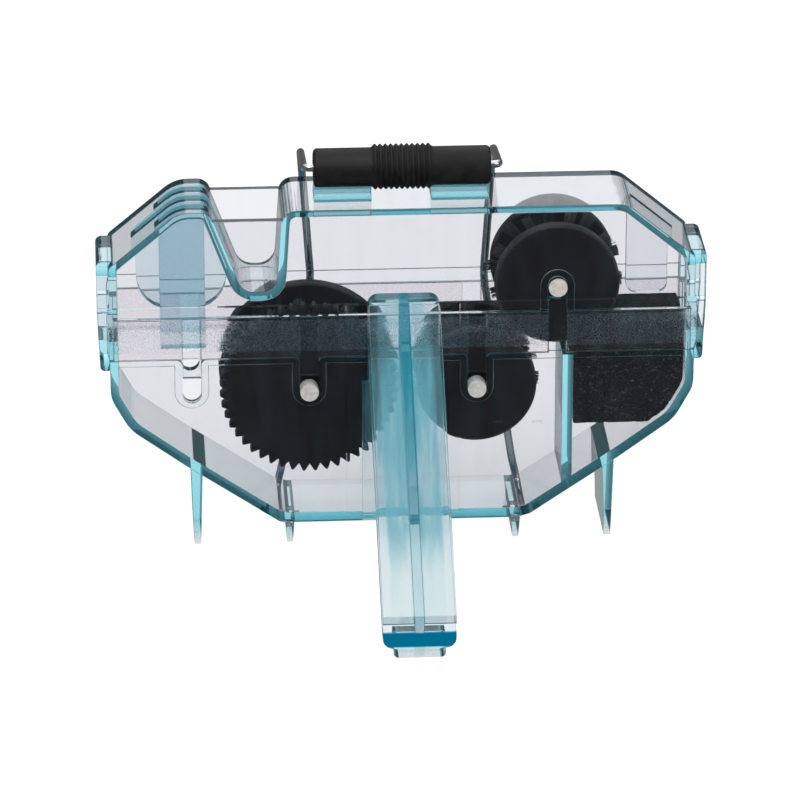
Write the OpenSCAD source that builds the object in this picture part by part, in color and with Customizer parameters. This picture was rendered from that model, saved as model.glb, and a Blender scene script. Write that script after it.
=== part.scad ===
// Bike chain cleaner: a clear tank with a lift-off cover, three cleaning wheels,
// a sponge, a carrying handle and a wire bail whose roller holds the cover shut.
// Millimetres, +Z up. The body is drawn about its own centre plane, and place()
// then puts the origin at the middle of the part's footprint, on the surface it stands on.

/* [Body] */
// Length of the body between the outsides of its end walls
body_l = 152.4; // [142:0.1:164]
// Depth of the body between the outsides of its front and back walls
body_d = 26; // [25:0.1:29]
// Thickness of the walls of tank and cover
wall = 2.1; // [1.8:0.05:2.3]
// Height of the tank floor above the surface that the feet stand on
floor_z = 5.8; // [5.4:0.1:8]
// Height of the tank, from its floor to the parting line
tank_h = 46.5; // [44:0.1:50]
// Height of the cover, from the parting line to its flat top
cover_h = 40.8; // [39:0.1:44]

/* [Parting band] */
// Height of the tank's inner lip above the parting line
lip_h = 11.2; // [9:0.1:12]
// Height of the cover's raised skirt
band_h = 15; // [14:0.1:16.5]
// How far the skirt stands out from the walls
band_out = 0.7; // [0.4:0.05:0.9]
// Gap between lip and skirt
nest_gap = 0.15; // [0.1:0.05:0.25]

/* [Chain ports] */
// Width of the chain ports in the end walls
port_w = 10; // [8:0.1:12]
// Height of the sill of a port above the parting line
port_sill = 3.7; // [3:0.1:5]
// Height of the top of a port above the parting line
port_top = 21.7; // [18:0.1:22]
// Width of the raised collar round a port
collar_w = 19.4; // [17:0.1:20]
// How far a collar stands out of its end wall
collar_out = 3.2; // [2:0.1:4]

/* [Axles] */
// Radius of the axle pins
pin_r = 2.4; // [2:0.05:2.5]
// Running clearance round a pin or a wire, on the radius
run_clear = 0.08; // [0.05:0.01:0.1]
// How far the pins stand out of the walls
pin_out = 0.6; // [0.3:0.1:0.8]
// Depth of the axle slots, from the parting line to the axle
slot_depth = 9.6; // [8:0.1:11]
// Height of the upper brush's axle above the parting line
arch_rise = 18.2; // [17.8:0.1:19]

/* [Toothed wheel] */
// Radius of the toothed wheel over its teeth
wheel_r = 23.4; // [20:0.1:24]
// Number of teeth
tooth_count = 48; // [36:1:60]
// Depth of a tooth
tooth_depth = 2.1; // [1.5:0.1:2.5]
// Radius of the toothed wheel's plain rear disc
wheel_rear_r = 23.2; // [20:0.1:24]

/* [Brushes] */
// Radius of the lower brush's discs
lower_disc_r = 15.8; // [14:0.1:16]
// Radius of the lower brush over its bristles
lower_tip_r = 17; // [16.6:0.1:17.2]
// Gap between the upper brush and the cover's roof
roof_gap = 2.9; // [2.5:0.1:6]
// Gap between the tips of the two brushes
brush_gap = 0.2; // [0.15:0.05:1]
// How far the upper brush's bristles stand out of its discs
bristle_out = 1.3; // [0.6:0.1:2]
// Radius of the toothed wheel's ring of bristles
wheel_tip_r = 20.4; // [17:0.1:21]
// Thickness of a disc
disc_t = 3.4; // [2.5:0.1:3.8]
// Gap between a disc and the wall beside it
disc_gap = 1; // [0.8:0.05:1.2]
// Radius of the core between two discs
core_r = 6; // [5:0.1:7]
// Number of tufts in each of a brush's two rows
tuft_count = 9; // [7:1:10]

/* [Sponge and partition] */
// Thickness of the wall between tank and sponge
partition_t = 2.6; // [2:0.1:3]
// Height of the sponge's top above the parting line
sponge_rise = 7.6; // [4:0.1:8]
// Height of the sponge's underside above the tank floor
sponge_drop = 25.3; // [20:0.1:28]
// Gap between the sponge and what is round it
sponge_gap = 0.3; // [0.2:0.05:0.5]

/* [Chain guides in the cover] */
// Thickness of the middle guide plate
guide_mid_t = 4.2; // [3:0.1:5]
// Thickness of each side guide plate
guide_side_t = 4.2; // [3:0.1:4.6]
// Gap between the middle plate and a side plate, seen from above
guide_gap = 2.4; // [2:0.1:2.6]
// Thickness of the hold-down plate over the sponge
hold_t = 2.4; // [1.8:0.1:3.5]

/* [Cradle and bail] */
// Radius of the bail's wire
wire_r = 1.03; // [0.8:0.01:1.1]
// Distance of the bail's upright wires behind the body's centre plane
wire_y = 15.37; // [15.2:0.01:18]
// Length of the grip roller
grip_l = 45.8; // [40:0.1:46]
// Radius of the grip roller's smooth ends
grip_r = 5.05; // [4.5:0.05:5.2]
// Radius over the grip roller's rings
ring_r = 5.95; // [5.3:0.05:6]
// Number of rings round the grip
ring_count = 10; // [6:1:12]
// Height of the cradle blocks above the cover
cradle_h = 4.5; // [3.5:0.1:5]
// Width of a cradle block
cradle_w = 14.8; // [12:0.1:15]
// Gap between the two cradle blocks
cradle_gap = 15.6; // [14:0.1:18]

/* [Handle] */
// Distance of the handle's end in front of the body's centre plane
handle_reach = 86.4; // [80:0.1:95]
// Width of the handle's flanges
handle_w = 18.6; // [16:0.1:20]
// Thickness of the handle's web
web_t = 2.4; // [1.8:0.1:3]
// Thickness of the handle's upper flange
flange_t = 2.2; // [1.8:0.1:2.6]
// Thickness of the handle's lower flange, measured upright
sole_t = 3.8; // [3:0.1:4]
// Upright height of the beam at its root
root_h = 16.8; // [15:0.1:18]
// Upright height of the beam at its end
tip_h = 8.8; // [8:0.1:10]
// Thickness of the pad under the handle's end
toe_h = 2.6; // [2:0.1:3]

/* [Hidden] */

$fn = 64;
// Overrun of every cut
over = 1;
// Steps along a rounded corner, and the most of an edge that its arc takes
arc_steps = 6;
corner_share = 0.48;

// Levels and half sizes of the body
half_l = body_l / 2;
half_d = body_d / 2;
parting_z = floor_z + tank_h;
top_z = parting_z + cover_h;
lip_z = parting_z + lip_h;
inner_l = half_l - wall;
inner_d = half_d - wall;
// Half of the wall stays with the lip, and the skirt fits round it
lip_l = half_l - wall / 2;
lip_d = half_d - wall / 2;

// One side of the tank from its rim to its floor: shares of the half length and of
// the tank's height, and the corner's radius as a share of the height
tank_side_shares = [[1, 1, 0], [1, 0.78, 0.19], [0.935, 0.585, 0.25],
    [0.748, 0.361, 0.1], [0.44, 0.02, 0.07], [0.395, 0, 0.07]];

// The cover's outline from its lower left corner, the same way: the last column is the
// radius as a share of the cover's height. The dip is the pocket in its top.
cover_shares = [[-1, 0, 0], [1, 0, 0], [1, 0.635, 0.05], [0.763, 1, 0.155],
    [-0.408, 1, 0.098], [-0.428, 0.44, 0.122], [-0.545, 0.44, 0.122],
    [-0.657, 1, 0.086], [-0.766, 1, 0.23], [-1, 0.635, 0.05]];
pocket_shares = [-0.645, -0.41];
pocket_floor_share = 0.44;
pocket_mouth_share = 0.937;

// Places along the half length
wheel_share = -0.32;
lower_share = 0.255;
upper_share = 0.53;
spare_share = -0.722;
partition_share = 0.567;
foot_share = 0.71;
inner_foot_share = 0.391;
wheel_x = wheel_share * half_l;
lower_x = lower_share * half_l;
upper_x = upper_share * half_l;
spare_x = spare_share * half_l;
partition_x = partition_share * half_l;
axle_z = parting_z - slot_depth;
upper_z = parting_z + arch_rise;

// The upper brush fills the room between the cover's roof and the lower brush
upper_tip_r = min(cover_h - arch_rise - wall - roof_gap,
    norm([upper_x - lower_x, upper_z - axle_z]) - lower_tip_r - brush_gap);
upper_disc_r = upper_tip_r - bristle_out;

// Axle slots: bosses on the walls' insides, and tongues of the cover that close them
slot_r = pin_r + run_clear;
boss_w = 1.9;
boss_out = 0.5;
slot_flare = 1.5;
tongue_gap = 0.15;
tongue_rise = 2.1;
saddle_drop = 0.8;
rim_h = 2.1;

// Gap between the cover's bottom edge and the tank's rim
rest_gap = 0.1;

// Skirt: its tapers below and above its flat face, and the step at its top
skirt_taper = 2.7;
skirt_shoulder = 4;
skirt_step = 0.3;
skirt_low_z = parting_z + rest_gap;
skirt_face_z = parting_z + skirt_taper;
skirt_top_z = parting_z + band_h;
skirt_bend_z = skirt_top_z - skirt_shoulder;

// Raised pad in the middle of the front
pad_half = 14.8;
pad_out = 0.5;

// Chain port collars
collar_drop = 3.8;
collar_part = 12.4;
collar_rise = 26.6;
collar_gap = 0.2;
collar_taper = 0.7;
collar_round = 1.2;

// Feet
foot_top_t = 3.1;
foot_tip_t = 1.8;
inner_top_t = 2.6;
inner_tip_t = 1.6;
foot_inset = 0.4;

// Level marks on the tank's front
mark_x_shares = [0.327, 0.465];
mark_w = 2.6;
mark_h = 0.6;
mark_out = 0.3;
mark_z_share = 0.575;
mark_z = floor_z + mark_z_share * tank_h;

// Partition between tank and sponge
partition_drop = 1.3;

// Cover plates
guide_mid_shares = [-0.905, -0.596];
guide_mid_drop = 10.5;
guide_mid_round = 9;
guide_side_shares = [-0.825, -0.672];
guide_side_drop = 2.1;
guide_y = guide_mid_t / 2 + guide_gap;
hold_shares = [0.776, 0.918];
hold_drop = 12;
hold_round = 2.6;

// Discs and brushes. A tooth is a list of points: each is a share of the pitch and a
// share of the tooth's depth
tooth_shares = [[0, 0], [0.38, 0.9], [0.5, 1], [0.62, 0.9]];
disc_y = inner_d - disc_gap;
disc_chamfer = 0.5;
disc_seat = 0.05;
core_y = disc_y - disc_t;
backing_t = 1.4;
backing_gap = 0.3;
strand_r = 0.3;
tuft_spread = 0.85;
tuft_splay = 4;
strands_round = 6;
first_tuft = -4;
row_share = 0.36;
row_y = row_share * core_y;
root_depth = 0.9;

// Bail: where its ends turn in the feet, and where its roller lies on the cradle
pivot_y = -4;
pivot_z = 3;
roll_clear = 0.25;
grip_in = 5.5;
grip_y = -half_d + grip_in;
grip_z = top_z + cradle_h + roll_clear + grip_r;
grip_end_gap = 2.4;
wire_sweep_share = 0.97;
wire_sides = 10;
bend_reach = 2.2;
bend_steps = 4;
pin_wire_in = 3.6;
// The wire's bends behind the cover: shares of the half length and of the cover's and
// the tank's height, and the upper bend's height above the cover in wire radii
bail_mid_share = 0.3;
bail_mid_z_share = 0.29;
bail_low_share = 0.402;
bail_low_z_share = 0.13;
bail_foot_share = 0.428;
bail_top_rise = 6.2 * wire_r;
ring_region = 15.2;
ring_base = 5.45;
ring_share = 0.6;
grip_chamfer = 0.7;
cradle_front = -6.8;
cradle_back = 3.2;
cradle_back_h = 1.2;

// Handle: its root stands in front of the skirt, and its base sits on the tank
root_gap = 0.3;
root_y = -half_d - band_out - pad_out - root_gap;
root_t = 2.1;
root_rise = 18.2;
root_z = parting_z + root_rise;
root_ledge = 3.4;
base_half = 10.8;
base_t = 2;
base_drop = 6.3;
base_lift = 1.2;
base_gap = 0.1;
base_top = parting_z - base_drop;
base_bottom = floor_z + base_lift;
handle_round = 2.6;
toe_half = 6.6;
toe_l = 8;

origin_y = (handle_reach - wire_y - wire_r) / 2;

// Geometry helpers: an outline is a list of points run anticlockwise
function cross2(a, b) = a[0] * b[1] - a[1] * b[0];
function unit(v) = v / norm(v);
function left_of(v) = [-v[1], v[0]];
function meet(p, u, q, v) = p + u * (cross2(q - p, v) / cross2(u, v));
function before(list, i) = list[(i + len(list) - 1) % len(list)];
function after(list, i) = list[(i + 1) % len(list)];
function turns_left(a, p, b) = cross2(p - a, b - p) > 0;

// An outline moved inwards by a distance
function inset(pts, d) = [for (i = [0:len(pts) - 1])
    let (a = before(pts, i), p = pts[i], b = after(pts, i), u = unit(p - a), v = unit(b - p))
    meet(a + d * left_of(u), u, p + d * left_of(v), v)];

// The corner radii of that inner outline
function inset_radii(pts, radii, d) = [for (i = [0:len(pts) - 1])
    let (left = turns_left(before(pts, i), pts[i], after(pts, i)))
    radii[i] == 0 ? 0 : left ? max(radii[i] - d, d / 4) : radii[i] + d];

// A turn of a vector in the plane
function turned(v, a) = [v[0] * cos(a) - v[1] * sin(a), v[0] * sin(a) + v[1] * cos(a)];

// The points of one rounded corner
function corner(a, p, b, r) = r <= 0 ? [p] :
    let (u = unit(a - p), v = unit(b - p), half = acos(u * v) / 2,
        reach = min(r / tan(half), corner_share * norm(a - p), corner_share * norm(b - p)),
        centre = p + unit(u + v) * reach / cos(half), start = p + u * reach - centre,
        sweep = (cross2(u, v) < 0 ? 1 : -1) * (180 - 2 * half))
    [for (k = [0:arc_steps]) centre + turned(start, sweep * k / arc_steps)];
function rounded(pts, radii) = [for (i = [0:len(pts) - 1])
    each corner(before(pts, i), pts[i], after(pts, i), radii[i])];

// The tank's outline, with its rim raised by a given height
function tank_side(rise) = [for (s = tank_side_shares)
    [s[0] * half_l, floor_z + s[1] * tank_h + (s[1] == 1 ? rise : 0)]];
function flipped(list) = [for (i = [len(list) - 1:-1:0]) list[i]];
function tank_pts(rise) = concat(
    [for (p = tank_side(rise)) [-p[0], p[1]]],
    flipped(tank_side(rise)));
tank_side_r = [for (s = tank_side_shares) s[2] * tank_h];
tank_radii = concat(tank_side_r, flipped(tank_side_r));
tank_outline = rounded(tank_pts(0), tank_radii);
function tank_inside(d) = rounded(
    inset(tank_pts(2 * lip_h), d),
    inset_radii(tank_pts(0), tank_radii, d));
// Height of the tank's outside at a place along it
function tank_z(x) = lookup(abs(x), flipped(tank_side(0)));

// The cover's outline, with its open bottom lowered by a given depth
function cover_pts(drop) = [for (s = cover_shares)
    [s[0] * half_l, parting_z + s[1] * cover_h - (s[1] == 0 ? drop : 0)]];
cover_radii = [for (s = cover_shares) s[2] * cover_h];
cover_outline = rounded(cover_pts(-rest_gap), cover_radii);
cover_inside = rounded(
    inset(cover_pts(2 * wall), wall),
    inset_radii(cover_pts(0), cover_radii, wall));
// The same outline shrunk by half a wall, where the guide plates end in the skin
cover_middle = inset(cover_pts(2 * wall), wall / 2);

// Drawing helpers
module place() {
    translate([0, origin_y, 0]) children();
}
// A shape drawn in X and Z, and extruded from y0 to y1
module slab(y0, y1) {
    translate([0, y1, 0]) rotate([90, 0, 0]) linear_extrude(y1 - y0) children();
}
// A shape drawn in Y and Z, and extruded from x0 to x1
module plate(x0, x1) {
    translate([x0, 0, 0]) rotate([90, 0, 90]) linear_extrude(x1 - x0) children();
}
module block(low, high) {
    translate(low) cube(high - low);
}
module both_walls() {
    children();
    mirror([0, 1, 0]) children();
}
module both_ends() {
    children();
    mirror([1, 0, 0]) children();
}
module along_y(x, z, y0, y1, r) {
    translate([x, y1, z]) rotate([90, 0, 0]) cylinder(r = r, h = y1 - y0);
}
module along_x(y, z, x0, x1, r) {
    translate([x0, y, z]) rotate([0, 90, 0]) cylinder(r = r, h = x1 - x0);
}

// Tank with its feet, slots, partition and lower port collars
module slot_cut(x) {
    reach = half_d + over;
    along_y(x, axle_z, -reach, reach, slot_r);
    block([x - slot_r, -reach, axle_z], [x + slot_r, reach, lip_z + over]);
    slab(-reach, reach) difference() {
        translate([x - slot_r - slot_flare, parting_z - slot_flare])
            square([2 * (slot_r + slot_flare), slot_flare]);
        for (side = [-1, 1])
            translate([x + side * (slot_r + slot_flare), parting_z - slot_flare]) circle(slot_flare);
    }
}
module slot_boss(x) {
    boss_r = slot_r + boss_w;
    both_walls() {
        along_y(x, axle_z, inner_d - boss_out, half_d - wall / 2, boss_r);
        block([x - boss_r, inner_d - boss_out, axle_z], [x + boss_r, half_d - wall / 2, parting_z]);
    }
}
module foot(x, top_t, tip_t) {
    slab(-half_d + foot_inset, half_d - foot_inset) polygon([
        [x - tip_t / 2, 0],
        [x + tip_t / 2, 0],
        [x + top_t / 2, tank_z(x + top_t / 2) + wall / 2],
        [x - top_t / 2, tank_z(x - top_t / 2) + wall / 2]]);
}
module lower_collar() {
    low = parting_z - collar_drop;
    high = parting_z + collar_part;
    edge = half_l + collar_out;
    slab(-collar_w / 2, collar_w / 2) polygon(rounded(
        [[inner_l, low], [edge - collar_taper, low], [edge, high], [inner_l, high]],
        [0, collar_round, 0, 0]));
}
module port_cut(low, high) {
    block([inner_l - over, -port_w / 2, low], [half_l + collar_out + over, port_w / 2, high]);
}
module saddle() {
    saddle_half = slot_r - tongue_gap;
    both_walls() block([upper_x - saddle_half, inner_d, parting_z - wall],
        [upper_x + saddle_half, half_d, upper_z - pin_r - saddle_drop]);
}
module lower_housing() {
    color([0.55, 0.83, 0.88, 0.45]) difference() {
        union() {
            difference() {
                union() {
                    slab(-half_d, half_d) polygon(tank_outline);
                    block([-pad_half, -half_d - pad_out, floor_z + wall],
                        [pad_half, -half_d + wall / 2, parting_z]);
                }
                slab(-inner_d, inner_d) polygon(tank_inside(wall));
            }
            difference() {
                block([-lip_l, -lip_d, parting_z - wall], [lip_l, lip_d, lip_z]);
                block([-inner_l, -inner_d, parting_z - wall - over], [inner_l, inner_d, lip_z + over]);
            }
            both_walls() block([-inner_l - wall / 2, inner_d - boss_out, parting_z - rim_h],
                [inner_l + wall / 2, half_d - wall / 2, parting_z]);
            for (x = [spare_x, wheel_x, lower_x]) slot_boss(x);
            saddle();
            both_ends() lower_collar();
            both_ends() foot(foot_share * half_l, foot_top_t, foot_tip_t);
            both_ends() foot(inner_foot_share * half_l, inner_top_t, inner_tip_t);
            slab(-inner_d - wall / 2, inner_d + wall / 2) intersection() {
                polygon(tank_outline);
                translate([partition_x - partition_t / 2, 0])
                    square([partition_t, parting_z - partition_drop]);
            }
            for (share = mark_x_shares) block([share * half_l - mark_w / 2, -half_d - mark_out, mark_z],
                [share * half_l + mark_w / 2, -half_d + wall / 2, mark_z + mark_h]);
        }
        for (x = [spare_x, wheel_x, lower_x]) slot_cut(x);
        both_ends() port_cut(parting_z + port_sill, lip_z + 2 * over + collar_part);
        along_x(pivot_y, pivot_z, -inner_foot_share * half_l - inner_top_t,
            inner_foot_share * half_l + inner_top_t, wire_r + run_clear);
    }
}

// Cover with its skirt, pocket, tongues, guide plates, cradle and upper port collars
function skirt_side(half) = [
    [half, skirt_low_z], [half + band_out, skirt_face_z], [half + band_out, skirt_bend_z],
    [half + skirt_step, skirt_top_z - skirt_step], [half, skirt_top_z]];
function skirt_pts(half) = concat(
    skirt_side(half),
    [for (p = flipped(skirt_side(half))) [-p[0], p[1]]]);
module skirt() {
    intersection() {
        slab(-half_d - band_out, half_d + band_out) polygon(skirt_pts(half_l));
        plate(-half_l - band_out, half_l + band_out) polygon(skirt_pts(half_d));
    }
}
module pad() {
    front = -half_d - band_out - pad_out;
    plate(-pad_half, pad_half) polygon([
        [-half_d, skirt_face_z], [-half_d, skirt_top_z], [-half_d - pad_out, skirt_top_z - pad_out],
        [front, skirt_bend_z - 2 * pad_out], [front, skirt_face_z]]);
}
module cover_shell() {
    difference() {
        union() {
            slab(-half_d, half_d) polygon(cover_outline);
            skirt();
            pad();
        }
        slab(-inner_d, inner_d) polygon(cover_inside);
        block([-lip_l - nest_gap, -lip_d - nest_gap, parting_z - over],
            [lip_l + nest_gap, lip_d + nest_gap, lip_z + 2 * nest_gap]);
        both_ends() block([inner_l - over, -collar_w / 2 - collar_gap, parting_z - over],
            [half_l + collar_out, collar_w / 2 + collar_gap, parting_z + collar_part + collar_gap]);
    }
    both_walls() slab(inner_d, half_d) translate([pocket_shares[0] * half_l, parting_z
        + pocket_floor_share * cover_h - wall / 2]) square([
            (pocket_shares[1] - pocket_shares[0]) * half_l,
            (pocket_mouth_share - pocket_floor_share) * cover_h + wall / 2]);
}
module guide_plate(shares, low, round_r, y0, y1) {
    x0 = shares[0] * half_l;
    x1 = shares[1] * half_l;
    slab(y0, y1) intersection() {
        polygon(cover_middle);
        polygon(rounded([[x0, low], [x1, low], [x1, top_z], [x0, top_z]], [round_r, round_r, 0, 0]));
    }
}
module tongue(x) {
    tongue_half = slot_r - tongue_gap;
    both_walls() block([x - tongue_half, inner_d, axle_z + pin_r + tongue_rise],
        [x + tongue_half, half_d, lip_z]);
}
module arch_boss() {
    boss_r = slot_r + boss_w;
    both_walls() {
        along_y(upper_x, upper_z, inner_d - boss_out, half_d - wall / 2, boss_r);
        block([upper_x - boss_r, inner_d - boss_out, lip_z + 2 * nest_gap],
            [upper_x + boss_r, half_d - wall / 2, upper_z]);
    }
}
module arch_cut() {
    reach = half_d + band_out + over;
    along_y(upper_x, upper_z, -reach, reach, slot_r);
    block([upper_x - slot_r, -reach, parting_z - over], [upper_x + slot_r, reach, upper_z]);
}
module upper_collar() {
    low = parting_z + collar_part + collar_gap;
    high = parting_z + collar_rise;
    edge = half_l + collar_out;
    slab(-collar_w / 2, collar_w / 2) polygon(rounded(
        [[inner_l, low], [edge, low], [edge, high], [inner_l, high]],
        [0, 0, collar_out / 2, 0]));
}
module cradle() {
    for (side = [-1, 1]) {
        x0 = side > 0 ? cradle_gap / 2 : -cradle_gap / 2 - cradle_w;
        plate(x0, x0 + cradle_w) polygon([
            [cradle_front, top_z - wall / 2], [cradle_back, top_z - wall / 2],
            [cradle_back, top_z + cradle_back_h], [cradle_front + 2 * wall, top_z + cradle_h - wall / 2],
            [cradle_front, top_z + cradle_h]]);
    }
}
module upper_housing() {
    color([0.6, 0.87, 0.92, 0.4]) difference() {
        union() {
            cover_shell();
            guide_plate(guide_mid_shares, parting_z + guide_mid_drop, guide_mid_round,
                -guide_mid_t / 2, guide_mid_t / 2);
            both_walls() guide_plate(guide_side_shares, parting_z + guide_side_drop, 0,
                guide_y, guide_y + guide_side_t);
            guide_plate(hold_shares, parting_z + hold_drop, hold_round, -hold_t / 2, hold_t / 2);
            for (x = [spare_x, wheel_x, lower_x]) tongue(x);
            arch_boss();
            both_ends() upper_collar();
            cradle();
        }
        arch_cut();
        both_ends() port_cut(parting_z - over, parting_z + port_top);
    }
}

// Handle: an I-beam that slopes down to the table, on a base that sits on the tank
module handle() {
    end = -handle_reach;
    end_top = toe_h + tip_h;
    root_low = root_z - root_h;
    color([0.35, 0.78, 0.85, 0.6]) {
        intersection() {
            union() {
                plate(-handle_w / 2, handle_w / 2) union() {
                    polygon([[root_y, root_z - flange_t], [root_y - root_ledge, root_z - flange_t],
                        [end, end_top - flange_t], [end, end_top],
                        [root_y - root_ledge, root_z], [root_y, root_z]]);
                    polygon([[root_y, root_low], [root_y, root_low + sole_t],
                        [end, toe_h + sole_t], [end, toe_h]]);
                }
                plate(-web_t / 2, web_t / 2) polygon([[root_y, root_low + sole_t / 2],
                    [end, toe_h + sole_t / 2], [end, end_top - flange_t / 2],
                    [root_y - root_ledge, root_z - flange_t / 2], [root_y, root_z - flange_t / 2]]);
                block([-handle_w / 2, root_y - root_t, base_top - base_t], [handle_w / 2, root_y, root_z]);
            }
            slab(end - over, 0) polygon(rounded([[-handle_w / 2, toe_h], [handle_w / 2, toe_h],
                [handle_w / 2, root_z], [-handle_w / 2, root_z]],
                [handle_round, handle_round, handle_round, handle_round]));
        }
        block([-base_half, root_y - root_t / 2, base_bottom],
            [base_half, -half_d - pad_out - base_gap, base_top]);
        slab(end, end + toe_l) polygon(rounded([[-toe_half, 0], [toe_half, 0],
            [toe_half, toe_h + sole_t / 2], [-toe_half, toe_h + sole_t / 2]],
            [toe_h / 2, toe_h / 2, 0, 0]));
    }
}

// Foam block behind the partition, hollowed under the upper brush
module sponge() {
    x0 = partition_x + partition_t / 2 + sponge_gap;
    y1 = inner_d - boss_out - sponge_gap;
    color([0.1, 0.1, 0.1]) difference() {
        slab(-y1, y1) intersection() {
            polygon(tank_inside(wall + sponge_gap));
            translate([x0, floor_z + sponge_drop])
                square([half_l, parting_z + sponge_rise - floor_z - sponge_drop]);
        }
        along_y(upper_x, upper_z, -half_d, half_d, upper_tip_r + sponge_gap);
    }
}

// Bail wire: one bent wire, straight through the roller, with its ends in the feet
function bend(a, p, b) =
    let (s = p + unit(a - p) * bend_reach, e = p + unit(b - p) * bend_reach)
    [for (k = [0:bend_steps])
        let (t = k / bend_steps)
        (1 - t) * (1 - t) * s + 2 * t * (1 - t) * p + t * t * e];
function bent(pts) = [pts[0], for (i = [1:len(pts) - 2]) each bend(pts[i - 1], pts[i], pts[i + 1]),
    pts[len(pts) - 1]];
grip_half = grip_l / 2;
wire_top_x = grip_half + grip_end_gap;
bail_foot_x = bail_foot_share * half_l;
wire_route = bent([
    [grip_half - bend_reach, grip_y, grip_z],
    [wire_top_x, grip_y, grip_z],
    [wire_top_x, wire_y, top_z + bail_top_rise],
    [bail_mid_share * half_l, wire_y, parting_z + bail_mid_z_share * cover_h],
    [bail_low_share * half_l, wire_y, floor_z + bail_low_z_share * tank_h],
    [bail_foot_x, wire_y, pivot_z],
    [bail_foot_x, pivot_y, pivot_z],
    [bail_foot_x - pin_wire_in, pivot_y, pivot_z]]);
wire_tangents = [for (i = [0:len(wire_route) - 1])
    unit(wire_route[min(i + 1, len(wire_route) - 1)] - wire_route[max(i - 1, 0)])];
function square_to(n, t) = unit(n - (n * t) * t);
wire_normals = [for (i = 0, n = [0, 0, 1]; i < len(wire_route); i = i + 1,
    n = square_to(n, wire_tangents[min(i, len(wire_route) - 1)])) n];
wire_rings = [for (i = [0:len(wire_route) - 1]) let (n = wire_normals[i], b = cross(wire_tangents[i], n))
    for (k = [0:wire_sides - 1]) wire_route[i]
        + wire_r * wire_sweep_share * (cos(360 * k / wire_sides) * n + sin(360 * k / wire_sides) * b)];
wire_last = (len(wire_route) - 1) * wire_sides;
wire_faces = concat(
    [[for (k = [wire_sides - 1:-1:0]) k]],
    [for (i = [0:len(wire_route) - 2]) for (k = [0:wire_sides - 1])
        let (a = i * wire_sides + k, b = i * wire_sides + (k + 1) % wire_sides)
        each [[a, b, b + wire_sides], [a, b + wire_sides, a + wire_sides]]],
    [[for (k = [0:wire_sides - 1]) wire_last + k]]);
module bail_wire() {
    color([0.8, 0.8, 0.82]) {
        both_ends() polyhedron(wire_rings, [for (f = wire_faces) flipped(f)]);
        along_x(grip_y, grip_z, -grip_half - wire_r, grip_half + wire_r, wire_r);
        both_ends() along_x(pivot_y, pivot_z, bail_foot_x - pin_wire_in - 2 * wire_r,
            bail_foot_x - wire_r, wire_r);
    }
}

// Grip roller that turns on the wire, with rings round its middle
module bail_grip() {
    pitch = ring_region / ring_count;
    rings = [for (i = [0:ring_count - 1]) let (x = -ring_region / 2 + (i + 0.5) * pitch)
        each [[ring_base, x - ring_share * pitch / 2], [ring_r, x - ring_share * pitch / 4],
            [ring_r, x + ring_share * pitch / 4], [ring_base, x + ring_share * pitch / 2]]];
    color([0.09, 0.09, 0.1]) translate([0, grip_y, grip_z]) rotate([0, 90, 0]) rotate_extrude()
        polygon(concat(
            [[wire_r + run_clear, -grip_half], [grip_r - grip_chamfer, -grip_half],
                [grip_r, -grip_half + grip_chamfer], [grip_r, -ring_region / 2],
                [ring_base, -ring_region / 2]],
            rings,
            [[ring_base, ring_region / 2], [grip_r, ring_region / 2],
                [grip_r, grip_half - grip_chamfer], [grip_r - grip_chamfer, grip_half],
                [wire_r + run_clear, grip_half]]));
}

// Parts shared by the three wheels, each drawn about the Y axis
module wheel_at(x, z) {
    translate([x, 0, z]) children();
}
module axle() {
    color([0.78, 0.75, 0.7]) along_y(0, 0, -half_d - pin_out, half_d + pin_out, pin_r);
}
module plain_disc(r) {
    c = disc_chamfer;
    color([0.11, 0.11, 0.12]) translate([0, -disc_y, 0]) rotate([-90, 0, 0]) rotate_extrude()
        polygon([[pin_r + disc_seat, 0], [r - c, 0], [r, c], [r, disc_t - c], [r - c, disc_t],
            [pin_r + disc_seat, disc_t]]);
}
module toothed_disc() {
    step = 360 / tooth_count;
    color([0.11, 0.11, 0.12]) difference() {
        slab(-disc_y, -core_y) polygon([for (i = [0:tooth_count - 1])
            for (s = tooth_shares)
                let (a = (i + s[0]) * step, r = wheel_r - (1 - s[1]) * tooth_depth)
                r * [cos(a), sin(a)]]);
        along_y(0, 0, -disc_y - over, -core_y + over, pin_r + disc_seat);
    }
}
module core() {
    color([0.11, 0.11, 0.12]) difference() {
        along_y(0, 0, -core_y, core_y, core_r);
        along_y(0, 0, -core_y - over, core_y + over, pin_r + disc_seat);
    }
}
// A tuft: one strand in the middle and a ring round it, all leaning slightly outwards
module tuft(tip_r) {
    length = tip_r - core_r - backing_t + root_depth;
    for (k = [0:strands_round]) {
        reach = k == 0 ? 0 : tuft_spread;
        lean = k == 0 ? 0 : tuft_splay;
        rotate([0, 0, 360 * k / strands_round]) translate([reach, 0, 0]) rotate([0, lean, 0])
            cylinder(r = strand_r, h = length, $fn = 3);
    }
}
module bristles(tip_r) {
    backing_r = core_r + backing_t;
    color([0.07, 0.07, 0.08]) {
        difference() {
            along_y(0, 0, -core_y + backing_gap, core_y - backing_gap, backing_r);
            along_y(0, 0, -core_y - over, core_y + over, core_r + disc_seat);
        }
        for (row = [-1, 1], i = [0:tuft_count - 1]) {
            a = first_tuft + (i + (row > 0 ? 0.5 : 0)) * 360 / tuft_count;
            rotate([0, 90 - a, 0]) translate([0, row * row_y, backing_r - root_depth]) tuft(tip_r);
        }
    }
}

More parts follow.
